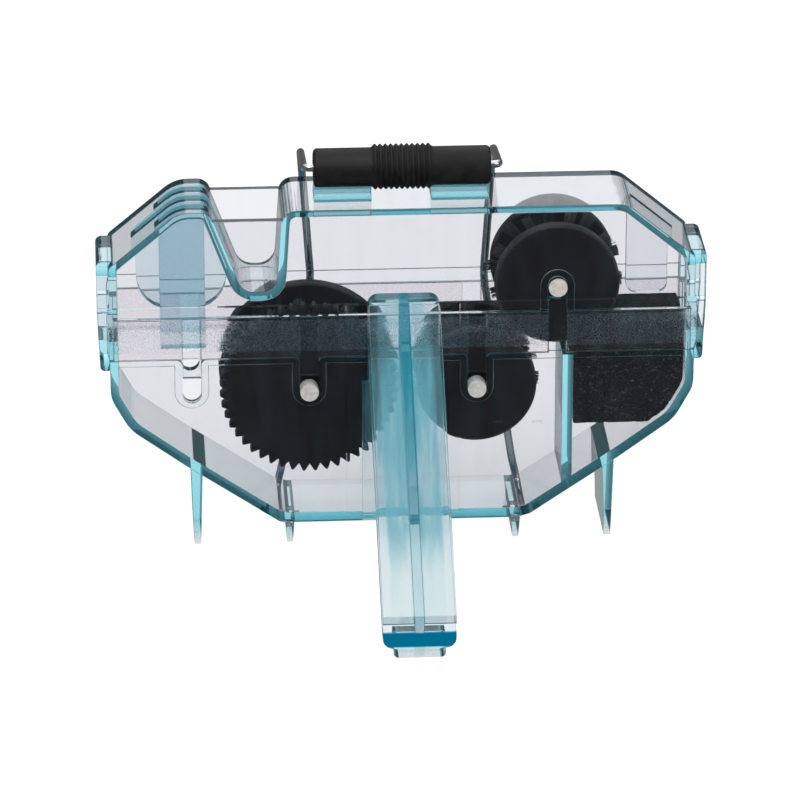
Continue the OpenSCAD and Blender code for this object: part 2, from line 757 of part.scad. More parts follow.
module toothed_wheel_axle() wheel_at(wheel_x, axle_z) axle();
module toothed_wheel_front_disc() wheel_at(wheel_x, axle_z) toothed_disc();
module toothed_wheel_rear_disc() wheel_at(wheel_x, axle_z) mirror([0, 1, 0]) plain_disc(wheel_rear_r);
module toothed_wheel_core() wheel_at(wheel_x, axle_z) core();
module toothed_wheel_bristles() wheel_at(wheel_x, axle_z) bristles(wheel_tip_r);
module lower_brush_axle() wheel_at(lower_x, axle_z) axle();
module lower_brush_front_disc() wheel_at(lower_x, axle_z) plain_disc(lower_disc_r);
module lower_brush_rear_disc() wheel_at(lower_x, axle_z) mirror([0, 1, 0]) plain_disc(lower_disc_r);
module lower_brush_core() wheel_at(lower_x, axle_z) core();
module lower_brush_bristles() wheel_at(lower_x, axle_z) bristles(lower_tip_r);
module upper_brush_axle() wheel_at(upper_x, upper_z) axle();
module upper_brush_front_disc() wheel_at(upper_x, upper_z) plain_disc(upper_disc_r);
module upper_brush_rear_disc() wheel_at(upper_x, upper_z) mirror([0, 1, 0]) plain_disc(upper_disc_r);
module upper_brush_core() wheel_at(upper_x, upper_z) core();
module upper_brush_bristles() wheel_at(upper_x, upper_z) bristles(upper_tip_r);

place() lower_housing();
place() upper_housing();
place() handle();
place() sponge();
place() bail_wire();
place() bail_grip();
place() toothed_wheel_axle();
place() toothed_wheel_front_disc();
place() toothed_wheel_rear_disc();
place() toothed_wheel_core();
place() toothed_wheel_bristles();
place() lower_brush_axle();
place() lower_brush_front_disc();
place() lower_brush_rear_disc();
place() lower_brush_core();
place() lower_brush_bristles();
place() upper_brush_axle();
place() upper_brush_front_disc();
place() upper_brush_rear_disc();
place() upper_brush_core();
place() upper_brush_bristles();
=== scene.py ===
"""Bike chain cleaner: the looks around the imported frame.

Metres, +Z up, +X along the body towards the sponge, +Y from the handle to the back."""
import math
import random
from types import SimpleNamespace
from typing import NamedTuple

import bmesh
import bpy
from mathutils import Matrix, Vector, noise


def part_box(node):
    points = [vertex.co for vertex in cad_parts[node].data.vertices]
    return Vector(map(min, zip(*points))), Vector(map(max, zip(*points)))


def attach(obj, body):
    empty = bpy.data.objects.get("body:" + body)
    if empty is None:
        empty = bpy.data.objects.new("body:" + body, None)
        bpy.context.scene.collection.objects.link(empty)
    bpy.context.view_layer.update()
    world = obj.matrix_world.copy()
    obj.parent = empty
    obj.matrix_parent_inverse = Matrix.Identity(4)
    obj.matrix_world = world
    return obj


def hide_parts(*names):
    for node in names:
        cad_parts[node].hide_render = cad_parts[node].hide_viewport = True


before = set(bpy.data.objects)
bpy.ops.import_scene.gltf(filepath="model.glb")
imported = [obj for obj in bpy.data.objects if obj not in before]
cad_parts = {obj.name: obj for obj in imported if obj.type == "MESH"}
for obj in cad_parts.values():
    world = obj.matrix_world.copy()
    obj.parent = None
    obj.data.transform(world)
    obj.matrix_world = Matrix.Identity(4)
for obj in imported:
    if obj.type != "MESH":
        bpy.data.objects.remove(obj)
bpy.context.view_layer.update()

MM = 0.001
# The body's centre plane
BODY_Y = 0.035
WHEELS = ("toothed_wheel", "lower_brush", "upper_brush")

# Camera, worked out from the outlines of the front and of the wires behind the body
CAMERA_AZIMUTH = math.radians(-3.31)
CAMERA_ELEVATION = math.radians(22.49)
CAMERA_DISTANCE = 1.475
CAMERA_TARGET = Vector((0, BODY_Y, 0.0345))
CLIP_END = 20
PIXELS_PER_METRE = 3790
FRAME_PIXELS = 800
SENSOR = 36


def link(thing):
    """Puts an object into the scene."""
    bpy.context.scene.collection.objects.link(thing)
    return thing


def make_camera():
    """The camera at the photograph's viewing angle."""
    data = bpy.data.cameras.new("camera")
    data.sensor_width = SENSOR
    data.lens = SENSOR * PIXELS_PER_METRE * CAMERA_DISTANCE / FRAME_PIXELS
    data.clip_end = CLIP_END
    camera = link(bpy.data.objects.new("camera", data))
    back = Vector((math.sin(CAMERA_AZIMUTH) * math.cos(CAMERA_ELEVATION),
                   -math.cos(CAMERA_AZIMUTH) * math.cos(CAMERA_ELEVATION),
                   math.sin(CAMERA_ELEVATION)))
    camera.location = CAMERA_TARGET + CAMERA_DISTANCE * back
    camera.rotation_euler = back.to_track_quat("Z", "Y").to_euler()
    bpy.context.scene.camera = camera


class Nodes:
    """A node tree with short calls for adding and linking nodes."""

    def __init__(self, owner):
        owner.use_nodes = True
        self.tree = owner.node_tree
        self.tree.nodes.clear()

    def add(self, kind, **settings):
        """Adds a node.

        A setting that names an input, or its number after an i, gives the input's value or what
        feeds it. Any other setting is the node's own."""
        node = self.tree.nodes.new("ShaderNode" + kind)
        inputs = {}
        for name, value in settings.items():
            key = name.replace("_", " ")
            if hasattr(node, name) and key not in node.inputs:
                setattr(node, name, value)
            else:
                inputs[key] = value
        for key, value in inputs.items():
            self.put(node, key, value)
        return node

    def put(self, node, key, value):
        """Sets or feeds one input of a node."""
        numbered = key[0] == "i" and key[1:].isdigit()
        socket = node.inputs[int(key[1:])] if numbered else node.inputs[key]
        if isinstance(value, bpy.types.NodeSocket):
            self.tree.links.new(value, socket)
        elif isinstance(value, bpy.types.Node):
            self.tree.links.new(value.outputs[0], socket)
        else:
            socket.default_value = value

    def math(self, operation, a, b=0.0):
        """A calculation with one or two numbers."""
        return self.add("Math", operation=operation, i0=a, i1=b).outputs[0]

    def product(self, *factors):
        """Several factors multiplied together."""
        made = factors[0]
        for factor in factors[1:]:
            made = self.math("MULTIPLY", made, factor)
        return made

    def mix(self, factor, a, b):
        """One of two colours, by a factor."""
        return self.add("Mix", data_type="RGBA", i0=factor, i6=a, i7=b).outputs[2]

    def blend(self, factor, a, b):
        """One of two numbers, by a factor."""
        return self.add("Mix", data_type="FLOAT", i0=factor, i2=a, i3=b).outputs[0]

    def either(self, factor, a, b):
        """One of two shaders, by a factor."""
        return self.add("MixShader", i0=factor, i1=a, i2=b)

    def span(self, value, ends, to=(0.0, 1.0)):
        """A value's range stretched to another, smoothly and within its ends."""
        return self.add("MapRange", interpolation_type="SMOOTHSTEP", clamp=True, i0=value,
                        i1=ends[0], i2=ends[1], i3=to[0], i4=to[1]).outputs[0]

    def past(self, value, limit, fade):
        """0 under a limit and 1 over it, with a fade on each side."""
        return self.span(value, (limit - fade, limit + fade))

    def under(self, value, limit, fade, least=0.0):
        """1 under a limit and a least value over it, with a fade on each side."""
        return self.span(value, (limit - fade, limit + fade), (1.0, least))

    def between(self, value, ends):
        """1 where a value lies between two others, or else 0."""
        return self.product(self.math("GREATER_THAN", value, ends[0]),
                            self.math("LESS_THAN", value, ends[1]))

    def noise(self, place, scale, detail, roughness=0.5):
        """An uneven value from 0 to 1."""
        return self.add("TexNoise", Vector=place, Scale=scale, Detail=detail,
                        Roughness=roughness).outputs["Fac"]

    def bump(self, height, strength, depth, **normal):
        """The surface's direction, waved by a height."""
        return self.add("Bump", Strength=strength, Distance=depth, Height=height,
                        **normal).outputs[0]


# Stage: a white floor that keeps the object's shadow, and a white surround. Rays that have been
# turned back inside the plastic, or that mirror off a surface, see the rest of a dimmer studio

WHITE = (1.0, 1.0, 1.0, 1.0)
FLOOR_GREY = (0.8, 0.8, 0.8, 1.0)
FLOOR_HALF = 4.0
# The lit floor's share, seen directly and through the plastic. The rest is even white paper
SHADOW_SHARE = 0.25
SHADOW_SHARE_THROUGH = 0.6
PAPER = 1.2
# Strengths for rays that were turned back and for mirrored ones. The surround's run from its
# side to its top over these parts of its height
TURNED_FLOOR = 0.5
TURNED_SIDE, TURNED_TOP = 0.3, 0.45
TURNED_HEIGHTS = (0.0, 0.8)
MIRRORED_FLOOR = 0.12
MIRRORED_SIDE, MIRRORED_TOP = 0.1, 1.0
MIRRORED_HEIGHTS = (0.35, 0.95)
ROOM_LIGHT = 0.8
# A glossy depth over this has been turned back at least once
TURNED_DEPTH = 0.5


class Lamp(NamedTuple):
    """A square lamp that faces the object: its place, its width in metres, its watts."""
    name: str
    spot: tuple
    size: float
    power: float


LAMPS = (Lamp("key", (-0.5, -0.5, 0.9), 0.6, 4.0),
         Lamp("fill", (0.9, -0.4, 0.5), 0.7, 1.5),
         Lamp("rim", (0.2, 0.9, 0.8), 0.8, 2.0))


def ray_kinds(n, path):
    """Factors for rays that go straight through, for turned back ones and for mirrored ones."""
    seen = n.math("MAXIMUM", path.outputs["Is Camera Ray"], path.outputs["Is Transmission Ray"])
    straight = n.product(seen, n.math("LESS_THAN", path.outputs["Glossy Depth"], TURNED_DEPTH))
    turned = n.math("SUBTRACT", seen, straight)
    return straight, turned, path.outputs["Is Glossy Ray"]


def make_floor():
    """The floor, white to the camera and a dimmer studio's to other rays."""
    mesh = bpy.data.meshes.new("floor")
    h = FLOOR_HALF
    mesh.from_pydata([(-h, -h, 0), (h, -h, 0), (h, h, 0), (-h, h, 0)], [], [(0, 1, 2, 3)])
    floor = link(bpy.data.objects.new("floor", mesh))
    material = bpy.data.materials.new("floor")
    n = Nodes(material)
    path = n.add("LightPath")
    straight, turned, mirrored = ray_kinds(n, path)
    lit = n.add("BsdfDiffuse", Color=FLOOR_GREY)
    paper, inside, dim = (n.add("Emission", Color=WHITE, Strength=strength)
                          for strength in (PAPER, TURNED_FLOOR, MIRRORED_FLOOR))
    share = n.blend(path.outputs["Is Camera Ray"], SHADOW_SHARE_THROUGH, SHADOW_SHARE)
    surface = n.either(mirrored, lit, dim)
    surface = n.either(turned, surface, inside)
    surface = n.either(straight, surface, n.either(share, paper, lit))
    n.add("OutputMaterial", Surface=surface)
    mesh.materials.append(material)


def make_surround():
    """The world, white straight on and a dimmer studio's to other rays."""
    world = bpy.data.worlds.new("world")
    bpy.context.scene.world = world
    n = Nodes(world)
    straight, turned, mirrored = ray_kinds(n, n.add("LightPath"))
    direction = n.add("TexCoord").outputs["Generated"]
    height = n.add("SeparateXYZ", Vector=direction).outputs["Z"]
    shine = n.span(height, MIRRORED_HEIGHTS, (MIRRORED_SIDE, MIRRORED_TOP))
    strength = n.blend(mirrored, ROOM_LIGHT, shine)
    inside = n.span(height, TURNED_HEIGHTS, (TURNED_SIDE, TURNED_TOP))
    strength = n.blend(turned, strength, inside)
    strength = n.blend(straight, strength, 1.0)
    n.add("OutputWorld", Surface=n.add("Background", Color=WHITE, Strength=strength))


def make_lamps():
    """The lamps, turned towards the object."""
    for lamp in LAMPS:
        data = bpy.data.lights.new(lamp.name, "AREA")
        data.size = lamp.size
        data.energy = lamp.power
        made = link(bpy.data.objects.new(lamp.name, data))
        made.location = lamp.spot
        away = Vector(lamp.spot) - CAMERA_TARGET
        made.rotation_euler = away.to_track_quat("Z", "Y").to_euler()


# What the materials share

EDGE_SOFTNESS = 0.35 * MM
EDGE_SAMPLES = 4


def new_material(name):
    """An empty material, its nodes, and a point's place on the object in metres."""
    material = bpy.data.materials.new(name)
    n = Nodes(material)
    return material, n, n.add("TexCoord").outputs["Object"]


def soft_edges(n):
    """The surface's direction, softened at edges."""
    return n.add("Bevel", samples=EDGE_SAMPLES, Radius=EDGE_SOFTNESS).outputs[0]


def wear(name, material):
    """Gives a CAD node its material."""
    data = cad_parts[name].data
    data.materials.clear()
    data.materials.append(material)


# Clear plastic

REFRACTION = 1.49
SHINE_TINT = (0.3, 0.3, 0.3, 1.0)
# What is left of the light that crosses one surface on its way to the floor
THROUGH = (0.93, 0.96, 0.965, 1.0)
# Colour and density of the plastic for light that crosses a wall, and for light that its faces
# turned back along it
HOUSING_TINT = (0.965, 0.9, 0.915, 1.0)
HOUSING_CROSSED = ((0.2, 0.86, 0.93, 1.0), 50.0)
HOUSING_TURNED = ((0.4, 0.73, 0.775, 1.0), 165.0)
HANDLE_TINT = (0.985, 0.965, 0.97, 1.0)
HANDLE_CROSSED = ((0.3, 0.86, 0.92, 1.0), 45.0)
HANDLE_TURNED = ((0.3, 0.72, 0.79, 1.0), 150.0)
# Fingerprints, as patches of roughness
SMUDGE_SCALE, SMUDGE_DETAIL, SMUDGE_ROUGHNESS = 90.0, 6.0, 0.6
SMUDGE_ENDS = (0.45, 0.75)
POLISH = (0.008, 0.06)
# Slight waves of the moulded faces
RIPPLE_SCALE, RIPPLE_DETAIL = 160.0, 2.0
RIPPLE_DEPTH = 0.05 * MM
HOUSING_WAVE, HANDLE_WAVE = 0.12, 0.6
# Streaks of haze along the pieces
STREAK_SCALE = (260.0, 45.0, 45.0)
STREAK_DETAIL = 4.0
STREAK_ENDS = (0.35, 0.65)
HOUSING_HAZE, HANDLE_HAZE = (0.0, 0.01), (0.12, 0.42)
HOUSING_HAZE_COLOUR = (0.3, 0.6, 0.7, 1.0)
HANDLE_HAZE_COLOUR = (0.2, 0.5, 0.58, 1.0)
# Share of the haze that glows through instead of back
HAZE_GLOW = 0.4

# The cover's frosted band: its heights, and how far its face is from the body's centre plane
FROST_LOW, FROST_HIGH = 54.6 * MM, 63.3 * MM
FROST_FADE = 0.1 * MM
FROST_OUT = 13.35 * MM
FROST_GRAIN, FROST_GRAIN_DETAIL, FROST_GRAIN_ROUGHNESS = 2600.0, 1.0, 0.7
FROST_GRAIN_ENDS = (0.42, 0.58)
FROST_ROUGHNESS = (0.06, 0.36)
FROST_WAVE = 0.22
FROST_HAZE = 0.045
FROST_COLOUR = (0.42, 0.62, 0.85, 1.0)
# The cover's guide plates, and their roots in the roof's upper faces: half the middle plate's
# thickness, the side plates' faces and both spans along the body
GUIDE_MID_HALF = 2.15 * MM
GUIDE_SIDE_FACES = (4.45 * MM, 8.75 * MM)
GUIDE_MID_SPAN = (-69.0 * MM, -45.4 * MM)
GUIDE_SIDE_SPAN = (-62.9 * MM, -51.2 * MM)
GUIDE_HAZE = 0.045
GUIDE_COLOUR = (0.2, 0.54, 0.63, 1.0)
ROOT_LOW = 74 * MM
ROOT_FACING = 0.2
ROOT_HAZE = 0.55
# The cradle blocks that the roller rests on, over the roof
CRADLE_LOW = 93.1 * MM
CRADLE_HAZE = 0.4

# The handle's beam: its inner panel is hazier than its flanges, most in the middle of its height
PANEL_HALF = 6.9 * MM
PANEL_FADE = 0.3 * MM
FLANGE_SHARE = 0.25
BEAM_FOOT, BEAM_FOOT_HAZE = (17 * MM, 27 * MM), (0.1, 1.0)
BEAM_TOP, BEAM_TOP_HAZE = (48 * MM, 58 * MM), (1.0, 0.45)
# Its web, seen as a darker line that deepens towards the top
WEB_HALF = 1.3 * MM
WEB_FADE = 0.15 * MM
WEB_HEIGHTS, WEB_HAZE = (14 * MM, 55 * MM), (0.12, 0.55)
WEB_COLOUR = (0.01, 0.3, 0.4, 1.0)
# Its end wall, deep teal, over the pad
END_Y, END_Y_FADE = -50.6 * MM, 0.6 * MM
END_LOW, END_HIGH = 2.7 * MM, 6.6 * MM
END_FADE = 0.4 * MM
END_HAZE = 1.0
END_COLOUR = (0.0, 0.2, 0.36, 1.0)


# Each of these calls changes the look of a clear piece in some of its places. A look holds a
# point's place and its three axes, and the roughness, height, wave, haze and colour there


def add_frost(n, look):
    """The cover's band: a fine speckle and a little haze on its outer faces."""
    y, z = look.axes["Y"], look.axes["Z"]
    out = n.math("ABSOLUTE", n.math("SUBTRACT", y, BODY_Y))
    mask = n.product(n.past(z, FROST_LOW, FROST_FADE), n.under(z, FROST_HIGH, FROST_FADE),
                     n.math("GREATER_THAN", out, FROST_OUT))
    grain = n.noise(look.place, FROST_GRAIN, FROST_GRAIN_DETAIL, FROST_GRAIN_ROUGHNESS)
    speckle = n.span(grain, FROST_GRAIN_ENDS, FROST_ROUGHNESS)
    look.roughness = n.blend(mask, look.roughness, speckle)
    look.height = n.blend(mask, look.height, grain)
    look.wave = n.blend(mask, look.wave, FROST_WAVE)
    look.haze = n.blend(mask, look.haze, FROST_HAZE)
    look.colour = n.mix(mask, look.colour, FROST_COLOUR)


def add_guides(n, look):
    """The cover's guide plates, their roots in its roof, and its cradles, all tinted teal."""
    x, y, z = look.axes["X"], look.axes["Y"], look.axes["Z"]
    out = n.math("ABSOLUTE", n.math("SUBTRACT", y, BODY_Y))
    middle = n.product(n.math("LESS_THAN", out, GUIDE_MID_HALF), n.between(x, GUIDE_MID_SPAN))
    side = n.product(n.between(out, GUIDE_SIDE_FACES), n.between(x, GUIDE_SIDE_SPAN))
    plate = n.math("MAXIMUM", middle, side)
    normal = n.add("NewGeometry").outputs["True Normal"]
    facing = n.add("SeparateXYZ", Vector=normal).outputs["Z"]
    root = n.product(plate, n.math("GREATER_THAN", facing, ROOT_FACING),
                     n.math("GREATER_THAN", z, ROOT_LOW))
    cradle = n.math("GREATER_THAN", z, CRADLE_LOW)
    look.haze = n.math("ADD", look.haze, n.product(plate, GUIDE_HAZE))
    look.haze = n.blend(root, look.haze, ROOT_HAZE)
    look.haze = n.blend(cradle, look.haze, CRADLE_HAZE)
    look.colour = n.mix(n.math("MAXIMUM", plate, cradle), look.colour, GUIDE_COLOUR)


def add_beam(n, look):
    """The handle's panel, web and end wall."""
    across, y, z = n.math("ABSOLUTE", look.axes["X"]), look.axes["Y"], look.axes["Z"]
    look.haze = n.product(look.haze, n.under(across, PANEL_HALF, PANEL_FADE, FLANGE_SHARE),
                          n.span(z, BEAM_FOOT, BEAM_FOOT_HAZE),
                          n.span(z, BEAM_TOP, BEAM_TOP_HAZE))
    web = n.under(across, WEB_HALF, WEB_FADE)
    look.haze = n.blend(web, look.haze, n.span(z, WEB_HEIGHTS, WEB_HAZE))
    look.colour = n.mix(web, look.colour, WEB_COLOUR)
    end = n.product(n.span(y, (END_Y, END_Y + END_Y_FADE), (1.0, 0.0)),
                    n.span(z, (END_LOW, END_LOW + END_FADE)),
                    n.span(z, (END_HIGH, END_HIGH + END_FADE), (1.0, 0.0)))
    look.haze = n.blend(end, look.haze, END_HAZE)
    look.colour = n.mix(end, look.colour, END_COLOUR)


def clear_plastic(name, tint, crossed, turned, haze=HOUSING_HAZE, haze_colour=HOUSING_HAZE_COLOUR,
                  wave=HOUSING_WAVE, details=()):
    """Clear plastic. Light that its faces turn back gathers more colour than light that crosses.

    crossed and turned are each a colour and a density. details are calls that change the look
    where a piece needs it."""
    material, n, place = new_material(name)
    smudge = n.noise(place, SMUDGE_SCALE, SMUDGE_DETAIL, SMUDGE_ROUGHNESS)
    streak = n.add("Mapping", Vector=place, Scale=STREAK_SCALE)
    cloud = n.noise(streak, scale=1.0, detail=STREAK_DETAIL)
    look = SimpleNamespace(
        place=place, axes=n.add("SeparateXYZ", Vector=place).outputs,
        roughness=n.span(smudge, SMUDGE_ENDS, POLISH),
        height=n.noise(place, RIPPLE_SCALE, RIPPLE_DETAIL), wave=wave,
        haze=n.span(cloud, STREAK_ENDS, haze), colour=haze_colour)
    for detail in details:
        detail(n, look)
    normal = n.bump(look.height, look.wave, RIPPLE_DEPTH, Normal=soft_edges(n))
    glass = n.add("BsdfPrincipled", Base_Color=tint, Roughness=look.roughness, Normal=normal)
    glass.inputs["IOR"].default_value = REFRACTION
    glass.inputs["Transmission Weight"].default_value = 1.0
    glass.inputs["Specular Tint"].default_value = SHINE_TINT
    cloudy = n.either(HAZE_GLOW, n.add("BsdfDiffuse", Color=look.colour),
                      n.add("BsdfTranslucent", Color=look.colour))
    path = n.add("LightPath")
    surface = n.either(path.outputs["Is Shadow Ray"], n.either(look.haze, glass, cloudy),
                       n.add("BsdfTransparent", Color=THROUGH))
    across, along = (n.add("VolumeAbsorption", Color=colour, Density=density)
                     for colour, density in (crossed, turned))
    kept_in = n.math("GREATER_THAN", path.outputs["Glossy Depth"], TURNED_DEPTH)
    n.add("OutputMaterial", Surface=surface, Volume=n.either(kept_in, across, along))
    return material


# Opaque materials

class Tone(NamedTuple):
    """An uneven tone: its noise, and the colours and the roughness that it runs between.

    ends is the part of the noise's range over which the colour changes, and rough_ends the part
    over which the roughness does."""
    scale: float
    detail: float
    fineness: float
    colours: tuple
    ends: tuple
    roughness: tuple
    rough_ends: tuple


PLASTIC = Tone(scale=120.0, detail=8.0, fineness=0.65,
               colours=((0.0055, 0.0025, 0.0035, 1), (0.0095, 0.005, 0.006, 1)), ends=(0.35, 0.7),
               roughness=(0.38, 0.6), rough_ends=(0.3, 0.75))
RUBBER = Tone(scale=220.0, detail=8.0, fineness=0.7,
              colours=((0.006, 0.0052, 0.006, 1), (0.014, 0.012, 0.0135, 1)), ends=(0.35, 0.7),
              roughness=(0.48, 0.66), rough_ends=(0.3, 0.7))
NYLON = Tone(scale=900.0, detail=3.0, fineness=0.5,
             colours=((0.006, 0.006, 0.007, 1), (0.02, 0.018, 0.02, 1)), ends=None,
             roughness=(0.28, 0.45), rough_ends=(0.3, 0.7))
PIN = Tone(scale=700.0, detail=5.0, fineness=0.5,
           colours=((0.62, 0.57, 0.53, 1), (0.80, 0.76, 0.72, 1)), ends=(0.3, 0.7),
           roughness=(0.4, 0.6), rough_ends=(0.3, 0.7))
WIRE = Tone(scale=450.0, detail=6.0, fineness=0.5,
            colours=((0.83, 0.83, 0.84, 1), (0.66, 0.66, 0.68, 1)), ends=(0.4, 0.7),
            roughness=(0.06, 0.22), rough_ends=(0.35, 0.75))
# Reliefs: strength and depth of the waves in each surface
PLASTIC_RELIEF = (0.35, 0.03 * MM)
RUBBER_RELIEF = (0.5, 0.04 * MM)
NYLON_RELIEF = (0.2, 0.02 * MM)
FOAM_RELIEF = (0.8, 0.15 * MM)
PIN_RELIEF = (0.3, 0.03 * MM)
WIRE_RELIEF = (0.15, 0.02 * MM)
# Moulded grain, as scale and detail
PLASTIC_GRAIN = (3500.0, 3.0)
RUBBER_GRAIN = (4200.0, 2.0)
# Turning marks on the pins
MARK_SCALE = (300.0, 300.0, 4000.0)
MARK_DETAIL = 4.0
# Dust on the black plastic: specks of this size, which show where the tone's noise is high
DUST_SCALE = 420.0
DUST_SIZE = (0.05, 0.09)
DUST_ENDS = (0.5, 0.6)
DUST_COLOUR = (0.05, 0.045, 0.045, 1)
# The scuffed rim of a disc: how far from its edge it starts and is full
RIM_START, RIM_FULL = 1.0 * MM, 0.25 * MM
SCUFF_ENDS, SCUFF_SHARE = (0.3, 0.6), (0.35, 1.0)
SCUFF_COLOUR = (0.045, 0.04, 0.042, 1)
RIM_ROUGHNESS = 0.65
# Cells of the foam: dark, with painted highlights, paler glints laid on their walls here and there
CELL_SCALE = 1250.0
CELL_WALL = (0.03, 0.16)
FOAM_SCALE, FOAM_DETAIL, FOAM_FINENESS = 1500.0, 4.0, 0.7
GLINT_ENDS = (0.52, 0.68)
FOAM_DARK, FOAM_PAINTED_HIGHLIGHT = (0.006, 0.0048, 0.006, 1), (0.15, 0.122, 0.125, 1)
FOAM_ROUGH_ENDS, FOAM_ROUGHNESS = (0.3, 0.7), (0.75, 0.95)
# How much each surface shines
PLASTIC_SHINE, RUBBER_SHINE, FOAM_SHINE = 0.15, 0.35, 0.25
PIN_METALLIC, WIRE_METALLIC = 0.25, 1.0


def toned(n, place, tone):
    """A tone's noise, colour and roughness."""
    cloud = n.noise(place, tone.scale, tone.detail, tone.fineness)
    share = n.span(cloud, tone.ends) if tone.ends else cloud
    return cloud, n.mix(share, *tone.colours), n.span(cloud, tone.rough_ends, tone.roughness)


def opaque(n, colour, roughness, normal):
    """An opaque surface. Its shader is returned for what else a material sets."""
    shader = n.add("BsdfPrincipled", Base_Color=colour, Roughness=roughness, Normal=normal)
    n.add("OutputMaterial", Surface=shader)
    return shader


def black_plastic(name, centre=None, radius=None):
    """Black moulded plastic with fine grain, dust and, on a disc, a scuffed rim."""
    material, n, place = new_material(name)
    cloud, colour, roughness = toned(n, place, PLASTIC)
    dust = n.add("TexVoronoi", Vector=place, Scale=DUST_SCALE).outputs["Distance"]
    speck = n.span(dust, DUST_SIZE, (1.0, 0.0))
    colour = n.mix(n.product(speck, n.span(cloud, DUST_ENDS)), colour, DUST_COLOUR)
    if centre is not None:
        off = n.add("VectorMath", operation="SUBTRACT", i0=place, i1=tuple(centre))
        flat = n.add("VectorMath", operation="MULTIPLY", i0=off, i1=(1, 0, 1))
        reach = n.add("VectorMath", operation="LENGTH", i0=flat).outputs["Value"]
        rim = n.span(reach, (radius - RIM_START, radius - RIM_FULL))
        scuff = n.product(rim, n.span(cloud, SCUFF_ENDS, SCUFF_SHARE))
        colour = n.mix(scuff, colour, SCUFF_COLOUR)
        roughness = n.blend(rim, roughness, RIM_ROUGHNESS)
    normal = n.bump(n.noise(place, *PLASTIC_GRAIN), *PLASTIC_RELIEF, Normal=soft_edges(n))
    shader = opaque(n, colour, roughness, normal)
    shader.inputs["Specular IOR Level"].default_value = PLASTIC_SHINE
    return material


def rubber(name):
    """The grip's rubber: dull, finely grained, a little greyer where hands rub it."""
    material, n, place = new_material(name)
    _, colour, roughness = toned(n, place, RUBBER)
    shader = opaque(n, colour, roughness, n.bump(n.noise(place, *RUBBER_GRAIN), *RUBBER_RELIEF))
    shader.inputs["Specular IOR Level"].default_value = RUBBER_SHINE
    return material


def nylon(name):
    """Bristle nylon: black, with a slight sheen along each strand."""
    material, n, place = new_material(name)
    cloud, colour, roughness = toned(n, place, NYLON)
    opaque(n, colour, roughness, n.bump(cloud, *NYLON_RELIEF))
    return material


def foam(name):
    """Open-cell foam: near black, with painted highlights on cell walls scattered over it."""
    material, n, place = new_material(name)
    cells = n.add("TexVoronoi", Vector=place, Scale=CELL_SCALE, feature="DISTANCE_TO_EDGE")
    cloud = n.noise(place, FOAM_SCALE, FOAM_DETAIL, FOAM_FINENESS)
    wall = n.span(cells, CELL_WALL, (1.0, 0.0))
    # Painted highlight: pale glints on some cell walls, laid into the base colour
    colour = n.mix(n.product(wall, n.span(cloud, GLINT_ENDS)), FOAM_DARK, FOAM_PAINTED_HIGHLIGHT)
    roughness = n.span(cloud, FOAM_ROUGH_ENDS, FOAM_ROUGHNESS)
    shader = opaque(n, colour, roughness, n.bump(wall, *FOAM_RELIEF))
    shader.inputs["Specular IOR Level"].default_value = FOAM_SHINE
    return material


def sawn_metal(name):
    """The axle pins: dull pale metal, with fine turning marks."""
    material, n, place = new_material(name)
    _, colour, roughness = toned(n, place, PIN)
    stretched = n.add("Mapping", Vector=place, Scale=MARK_SCALE)
    marks = n.noise(stretched, scale=1.0, detail=MARK_DETAIL)
    shader = opaque(n, colour, roughness, n.bump(marks, *PIN_RELIEF))
    shader.inputs["Metallic"].default_value = PIN_METALLIC
    return material


def bright_wire(name):
    """Polished drawn wire, faintly uneven, with a few dull spots."""
    material, n, place = new_material(name)
    cloud, colour, roughness = toned(n, place, WIRE)
    shader = opaque(n, colour, roughness, n.bump(cloud, *WIRE_RELIEF))
    shader.inputs["Metallic"].default_value = WIRE_METALLIC
    return material


# Mesh helpers

def new_piece(name, bm, body, material):
    """A smooth mesh object made from bm, riding on a body."""
    mesh = bpy.data.meshes.new(name)
    bm.to_mesh(mesh)
    bm.free()
    mesh.shade_smooth()
    mesh.materials.append(material)
    piece = link(bpy.data.objects.new(name, mesh))
    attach(piece, body)
    return piece


def centre_of(node):
    """The middle of a CAD node's box."""
    low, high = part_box(node)
    return (low + high) / 2


def add_wall(bm, low, high):
    """A band of faces between two rings of points."""
    for k in range(len(low)):
        after = (k + 1) % len(low)
        bm.faces.new((low[k], low[after], high[after], high[k]))


def add_tube(bm, path, radius, sides):
    """A closed tube along a path, carried round its bends without twisting."""
    tangents = [(path[min(i + 1, len(path) - 1)] - path[max(i - 1, 0)]).normalized()
                for i in range(len(path))]
    normal = tangents[0].orthogonal().normalized()
    rings = []
    for point, tangent in zip(path, tangents):
        normal = (normal - normal.dot(tangent) * tangent).normalized()
        side = tangent.cross(normal)
        turns = (2 * math.pi * k / sides for k in range(sides))
        rings.append([bm.verts.new(point + radius * (math.cos(a) * normal + math.sin(a) * side))
                      for a in turns])
    for low, high in zip(rings, rings[1:]):
        add_wall(bm, low, high)
    bm.faces.new(rings[0][::-1])
    bm.faces.new(rings[-1])


def add_lathe(bm, profile, sides, place):
    """A closed profile of (radius, along) turned about an axis.

    place gives a point from (radius, along, angle)."""
    rings = [[bm.verts.new(place(r, t, 2 * math.pi * k / sides)) for k in range(sides)]
             for r, t in profile]
    for low, high in zip(rings, rings[1:] + rings[:1]):
        add_wall(bm, low, high)


# Bristles: tufts of fine strands in two rows round each wheel, on a sleeve round its core

TUFTS = 9
FIRST_TUFT = math.radians(-4)
ROW_STAGGER = 0.5
ROW_Y = 2.34 * MM
STRANDS = 34
STRAND_R = 0.115 * MM
STRAND_STEPS = 3
STRAND_SIDES = 4
SLEEVE_R = 7.4 * MM
SLEEVE_INNER_R = 6.06 * MM
SLEEVE_HALF = 6.15 * MM
SLEEVE_SIDES = 48
ROOT_DEPTH = 0.5 * MM
# A tuft's roots fill a round patch, each one this much further round it, give or take
TUFT_R = 1.15 * MM
GOLDEN_TURN = 2.39996
TURN_STRAY = 0.2
